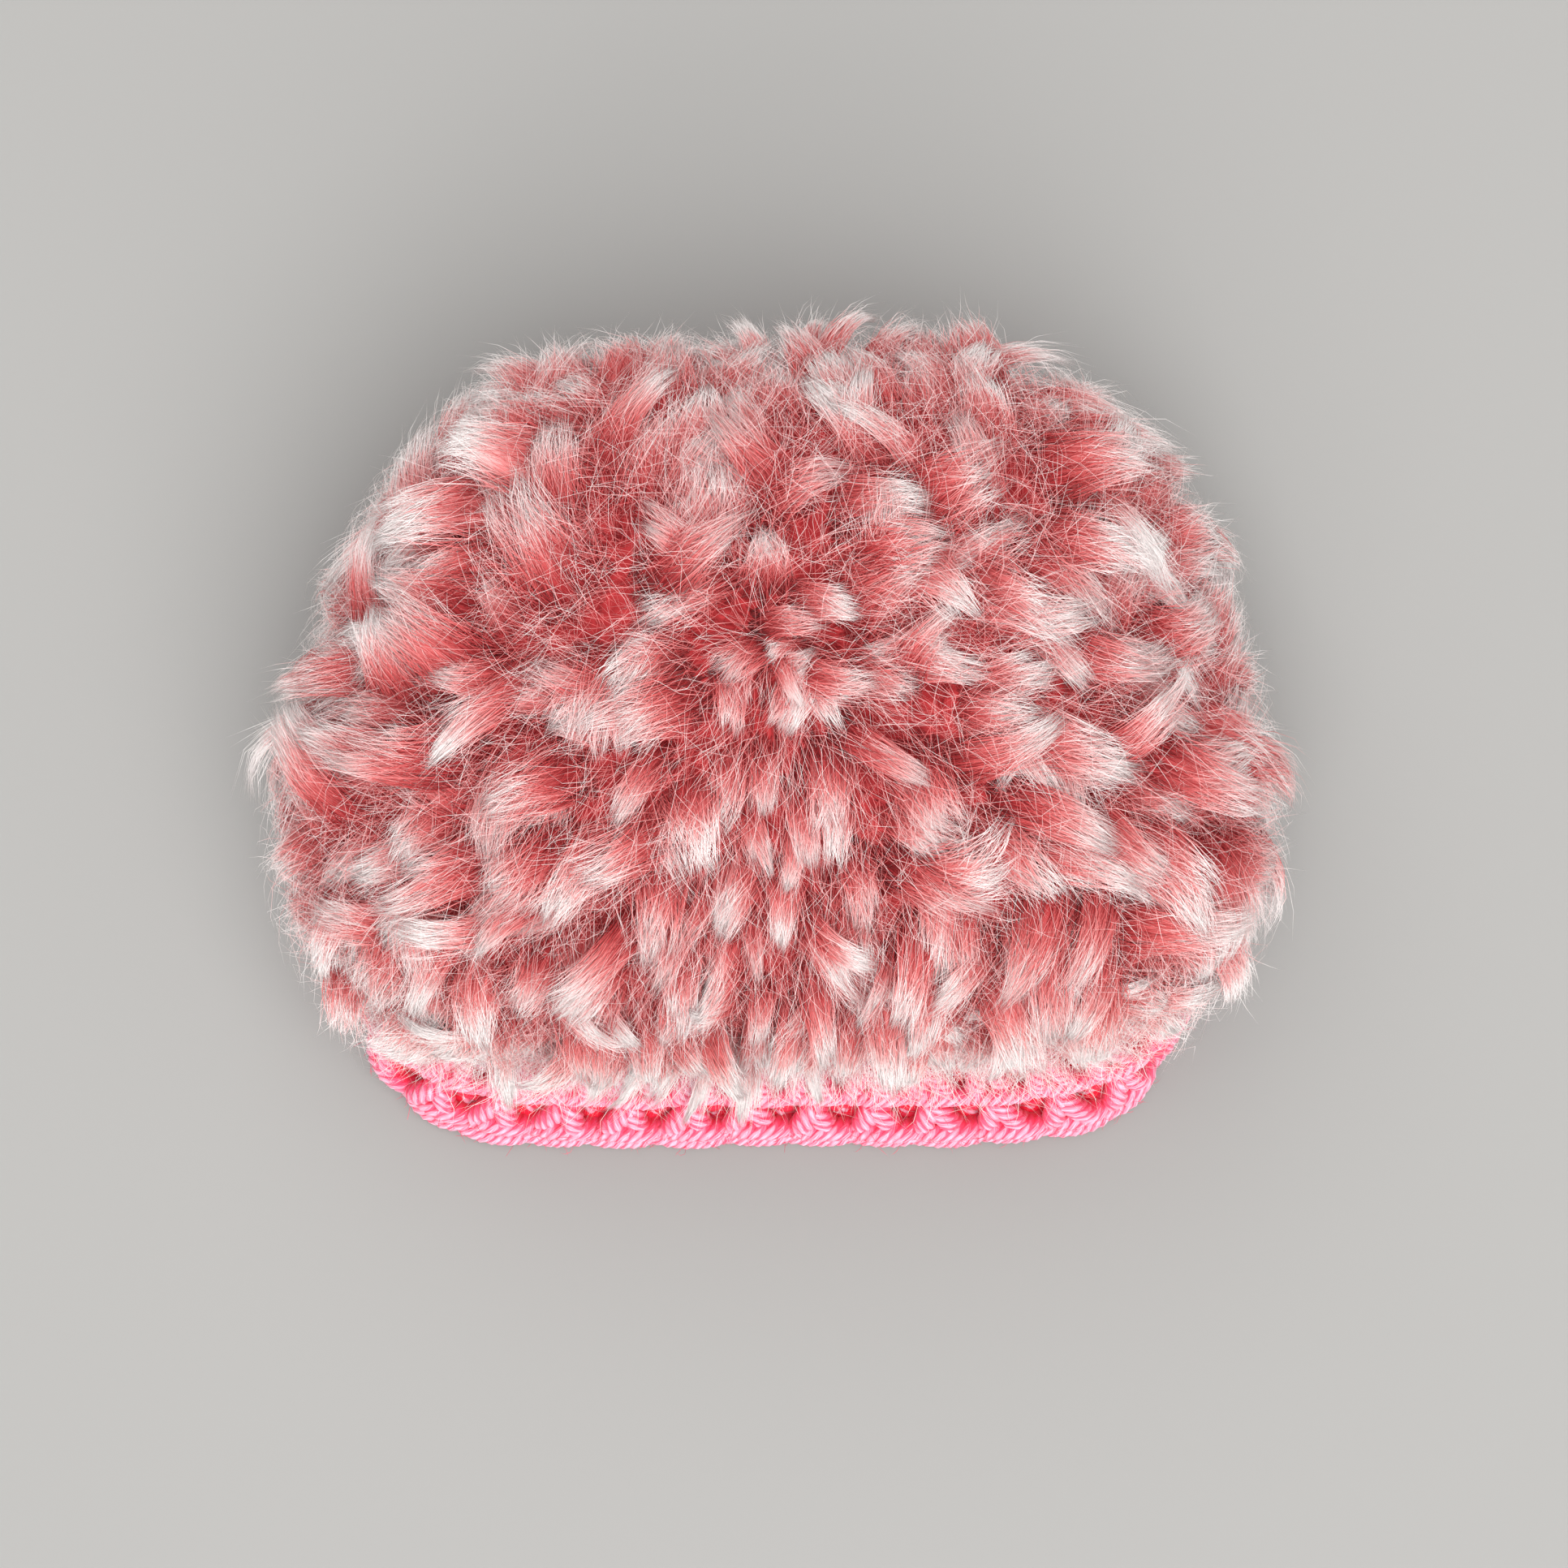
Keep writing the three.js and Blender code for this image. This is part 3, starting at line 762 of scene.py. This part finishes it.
def wisp_bodies(wisp):
    """The dense middle of each wisp, which closes the gaps between its fibres."""
    n = len(wisp["lean"])
    rings = len(BODY_SHARES)
    turn = np.arange(BODY_SIDES) * TAU / BODY_SIDES
    across = BODY_GIRTH[:, None] * np.cos(turn)
    up = BODY_GIRTH[:, None] * np.sin(turn)
    s = np.broadcast_to(BODY_SHARES[:, None], across.shape)
    points = wisp_points(wisp, s[None] * wisp["body"], across[None], up[None])
    points = np.concatenate([points[:, :-1].reshape(n, -1, 3), points[:, -1:, 0]], 1)
    base = (np.arange(n) * points.shape[1])[:, None, None]
    j, k = np.meshgrid(np.arange(rings - 2), np.arange(BODY_SIDES), indexing="ij")
    a = (BODY_SIDES * j + k).ravel()
    b = (BODY_SIDES * j + (k + 1) % BODY_SIDES).ravel()
    quads = np.stack([a, b, b + BODY_SIDES, a + BODY_SIDES], -1)
    quad_v = BODY_SHARES[np.stack([j, j, j + 1, j + 1], -1).reshape(-1, 4)]
    side = np.arange(BODY_SIDES)
    last = BODY_SIDES * (rings - 2)
    point = np.full(BODY_SIDES, BODY_SIDES * (rings - 1))
    tip = np.stack([last + side, last + (side + 1) % BODY_SIDES, point], -1)
    tip_v = BODY_SHARES[[rings - 2, rings - 2, rings - 1]] * np.ones((BODY_SIDES, 1))
    fan = np.stack([np.zeros(BODY_SIDES - 2, int), side[2:], side[1:-1]], -1)
    tris = np.concatenate([tip, fan])
    tri_v = np.concatenate([tip_v, np.full((BODY_SIDES - 2, 3), BODY_SHARES[0])])

    def corner_uv(shares):
        v = np.broadcast_to(np.clip(0.02 + 0.76 * shares, 0, 1), (n, *shares.shape))
        return np.stack([np.broadcast_to(wisp["tone"], v.shape), v], -1)

    wall = ((base + quads).reshape(-1, 4), corner_uv(quad_v))
    ends = ((base + tris).reshape(-1, 3), corner_uv(tri_v))
    return points, [wall, ends]


def wisp_fibres(wisp):
    """The fibres that lie round each wisp's body, drawn together into a few pointed locks: (n, 5) paths,
    radii and tone."""
    n = len(wisp["lean"])
    shape = (n, WISP_FIBRES, 1)
    lock = rng.integers(0, LOCKS, shape)

    def of_lock(low, high):
        return np.take_along_axis(rng.uniform(low, high, (n, LOCKS, 1)), lock, 1)

    turn = rng.uniform(*FIBRE_TURNS, shape) * np.pi
    out = rng.uniform(*FIBRE_DISTANCES, shape)
    stray = rng.random(shape) < STRAY_SHARE
    share = FIBRE_SHARES
    start = rng.uniform(*FIBRE_STARTS, shape)
    end = of_lock(*LOCK_LENGTHS) * rng.uniform(*FIBRE_ENDS, shape)
    s = start + (end - start) * share
    wave = rng.normal(0, FIBRE_WAVE, shape) * np.sin(np.pi * share * rng.uniform(*FIBRE_WAVES, shape))
    away = np.where(stray, STRAY_AWAY, FIBRE_AWAY) * rng.normal(0, 1.0, shape) * share**1.5
    lift = np.where(stray, STRAY_LIFT, FIBRE_LIFT) * rng.normal(0.25, 1.0, shape) * share**1.8
    drawn = LOCK_PULL * share**1.4
    across = out * np.cos(turn) * (1 - drawn) + of_lock(-LOCK_SIDE, LOCK_SIDE) * drawn + wave + away
    up = out * np.sin(turn) * (1 - drawn) + of_lock(*LOCK_HEIGHTS) * drawn
    paths = wisp_points(wisp, s, across, up, lift).reshape(-1, len(share), 3)
    tone = wisp["tone"] + of_lock(-LOCK_TONE, LOCK_TONE) + rng.normal(0, FIBRE_TONE_SPREAD, shape)
    thinness = np.where(stray, STRAY_THINNESS, 1.0)
    radii = FIBRE_RADIUS * rng.uniform(*FIBRE_RADIUS_LIMITS, shape) * thinness * FIBRE_TAPER
    return paths, radii.reshape(-1, len(share)), np.clip(tone, 0, 1).ravel()


def loose_fibres(number, per_mm2, length, root_height, rise, tone, radius, order):
    """Fibres spread evenly over one round, as a coat's values say."""
    middle = number + 0.5
    n = int(round_length(middle) * (DEPTHS[number + 1] - DEPTHS[number]) * per_mm2)
    shape = (n, 1)
    depth = rng.uniform(DEPTHS[number], DEPTHS[number + 1] + 1, n)[:, None]
    angle = round_angles(middle, rng.random(n))[:, None]
    lean = rng.uniform(-np.pi, np.pi, shape) * (1 - order)
    reach = length * rng.uniform(*COAT_LENGTH_LIMITS, shape)
    s = FIBRE_SHARES
    curl = rng.normal(0, COAT_CURL, shape) * reach * np.sin(np.pi * s * rng.uniform(*COAT_WAVES, shape))
    down = reach * np.cos(lean) * s - curl * np.sin(lean)
    around = reach * np.sin(lean) * s + curl * np.cos(lean)
    height = root_height + rise * rng.uniform(*COAT_RISE_LIMITS, shape) * (1 - (1 - s) ** 2)
    paths = pile_points(depth, angle, down, around, height)
    radii = radius * rng.uniform(*COAT_RADIUS_LIMITS, shape) * FIBRE_TAPER
    return paths, radii, np.clip(tone + rng.normal(0, FIBRE_TONE_SPREAD, n), 0, 1)


MAT_TOP = 2.2               # the mat's lowest top, above the middle of the fabric
MAT_LUMPS = 1.6             # how much higher its lumps are
MAT_UNDERSIDE = 1.1
MAT_OVERLAP = 0.12          # with the next round, in rounds
MAT_HEM = 0.1               # how far the last mat passes the last fur round
MAT_SHADE = 0.22            # painted light: the highest lumps go this far along a fibre's colours, paler than the mat's hollows
# paler at the fringe: painted light that offsets the shade on the hat's steep front
FRINGE_MAT_PAINTED_LIGHT = 0.46
MAT_RINGS = 14
MAT_STEPS = 300


def root_mat(number):
    """The matted roots of one round: a closed, uneven band that hides the core from outside, with painted
    light that makes its lumps paler than its hollows.
    """
    rings, steps = MAT_RINGS, MAT_STEPS
    first = max(number - 0.04, 0.02)
    last = number + 1 + MAT_OVERLAP if number < FUR_ROUNDS else FUR_END + MAT_HEM
    station = np.linspace(first, last, rings)[:, None]
    angle = (np.arange(steps) * TAU / steps)[None]
    lump = rng.random((rings, steps))
    lump = (lump + np.roll(lump, 1, 1) + np.roll(lump, 2, 1)) / 3
    top, _ = off_fabric(station + 0 * angle, angle + 0 * station, MAT_TOP + MAT_LUMPS * lump)
    under, _ = off_fabric(station + 0 * angle, angle + 0 * station, np.full(lump.shape, MAT_UNDERSIDE))
    points = np.concatenate([top, under[::-1]]).transpose(1, 0, 2)      # each step holds one closed loop
    loop = 2 * rings
    j, k = np.meshgrid(np.arange(steps), np.arange(loop), indexing="ij")
    here = loop * j + k
    here_end = loop * j + (k + 1) % loop
    along = loop * ((j + 1) % steps)
    quads = np.stack([here, here_end, along + (k + 1) % loop, along + k], -1).reshape(-1, 4)
    most = FRINGE_MAT_PAINTED_LIGHT if number == FUR_ROUNDS else MAT_SHADE
    # painted light: the higher a lump, the paler its colour; the underside keeps the root's colour
    shade = np.concatenate([most * lump, np.zeros(lump.shape)]).T.ravel()
    corner_uv = np.stack([np.full(quads.shape, 0.5), shade[quads]], -1)
    return points, [(quads, corner_uv)]


def add_pile(number, node):
    is_fringe = number == FUR_ROUNDS
    wisp = wisps_of_round(number)
    add_piece(f"{node}_body", [root_mat(number), wisp_bodies(wisp)], frosted_pile, node)
    undercoat_tone = FRINGE_UNDERCOAT_PAINTED_LIGHT_TONE if is_fringe else UNDERCOAT_TONE
    coats = [
        (wisp_fibres(wisp), FIBRE_SHARES),
        (loose_fibres(number, tone=undercoat_tone, **UNDERCOAT), UNDERCOAT_SHARES),
        (loose_fibres(number, **FRIZZ), FRIZZ_SHARES),
    ]
    if is_fringe:
        coats.append((loose_fibres(number, **FRINGE_COAT), FIBRE_SHARES))
    paths = np.concatenate([coat[0] for coat, _ in coats])
    radii = np.concatenate([coat[1] for coat, _ in coats])
    tone = np.concatenate([coat[2] for coat, _ in coats])
    shares = np.concatenate([np.broadcast_to(share, (len(coat[2]), len(share))) for coat, share in coats])
    pieces = -(-len(paths) // MOST_FIBRES)      # rounded up
    for i, part in enumerate(np.array_split(rng.permutation(len(paths)), pieces)):
        made = fibres(paths[part], radii[part], tone[part], shares[part])
        add_piece(f"{node}_fur_{i + 1}", [made], frosted_pile, node)


add_pile(0, "crown_pile")
for number in range(1, FUR_ROUNDS + 1):
    add_pile(number, f"pile_round_{number}")

# ---- floor, light and camera --------------------------------------------------------------------------

FLOOR_SIZE = 4              # metres, as is all that follows
FLOOR_COLOUR = (0.24, 0.237, 0.23, 1)
SKY_COLOUR = (1.0, 0.99, 0.98, 1)
SKY_STRENGTH = 0.9

bpy.ops.mesh.primitive_plane_add(size=FLOOR_SIZE, location=(0, 0, 0))
floor = bpy.context.object
floor.name = "floor"
floor_material, _, _, floor_shader = new_material("pale_floor", 0.75)
floor_shader.inputs["Base Color"].default_value = FLOOR_COLOUR
floor.data.materials.append(floor_material)

world = bpy.data.worlds.new("studio")
world.use_nodes = True
world.node_tree.nodes["Background"].inputs["Color"].default_value = SKY_COLOUR
world.node_tree.nodes["Background"].inputs["Strength"].default_value = SKY_STRENGTH
bpy.context.scene.world = world


def area_light(name, place, energy, size):
    """A square light that points at the hat; its energy is in watts."""
    data = bpy.data.lights.new(name, "AREA")
    data.energy = energy
    data.size = size
    light = bpy.data.objects.new(name, data)
    light.location = place
    aim = -light.location
    light.rotation_euler = aim.to_track_quat("-Z", "Y").to_euler()
    bpy.context.scene.collection.objects.link(light)


area_light("key", (0.16, -0.26, 1.0), 11.5, 0.9)
area_light("fill", (-0.25, 0.65, 0.85), 7.0, 1.0)
area_light("front", (0.05, -0.8, 0.45), 6.0, 0.8)

CAMERA_HEIGHT = 0.62
CAMERA_ASIDE = (0.0011, -0.0041)    # from the middle of the hat
FRAME_WIDTH = 0.196         # what the picture takes in, at the height of the brim
SENSOR_WIDTH = 36           # millimetres, as is the lens
camera_data = bpy.data.cameras.new("camera")
camera_data.sensor_width = SENSOR_WIDTH
camera_data.lens = SENSOR_WIDTH * CAMERA_HEIGHT / FRAME_WIDTH
camera = bpy.data.objects.new("camera", camera_data)
camera.location = (*CAMERA_ASIDE, CAMERA_HEIGHT)
bpy.context.scene.collection.objects.link(camera)
bpy.context.scene.camera = camera
bpy.context.scene.view_settings.view_transform = "Standard"
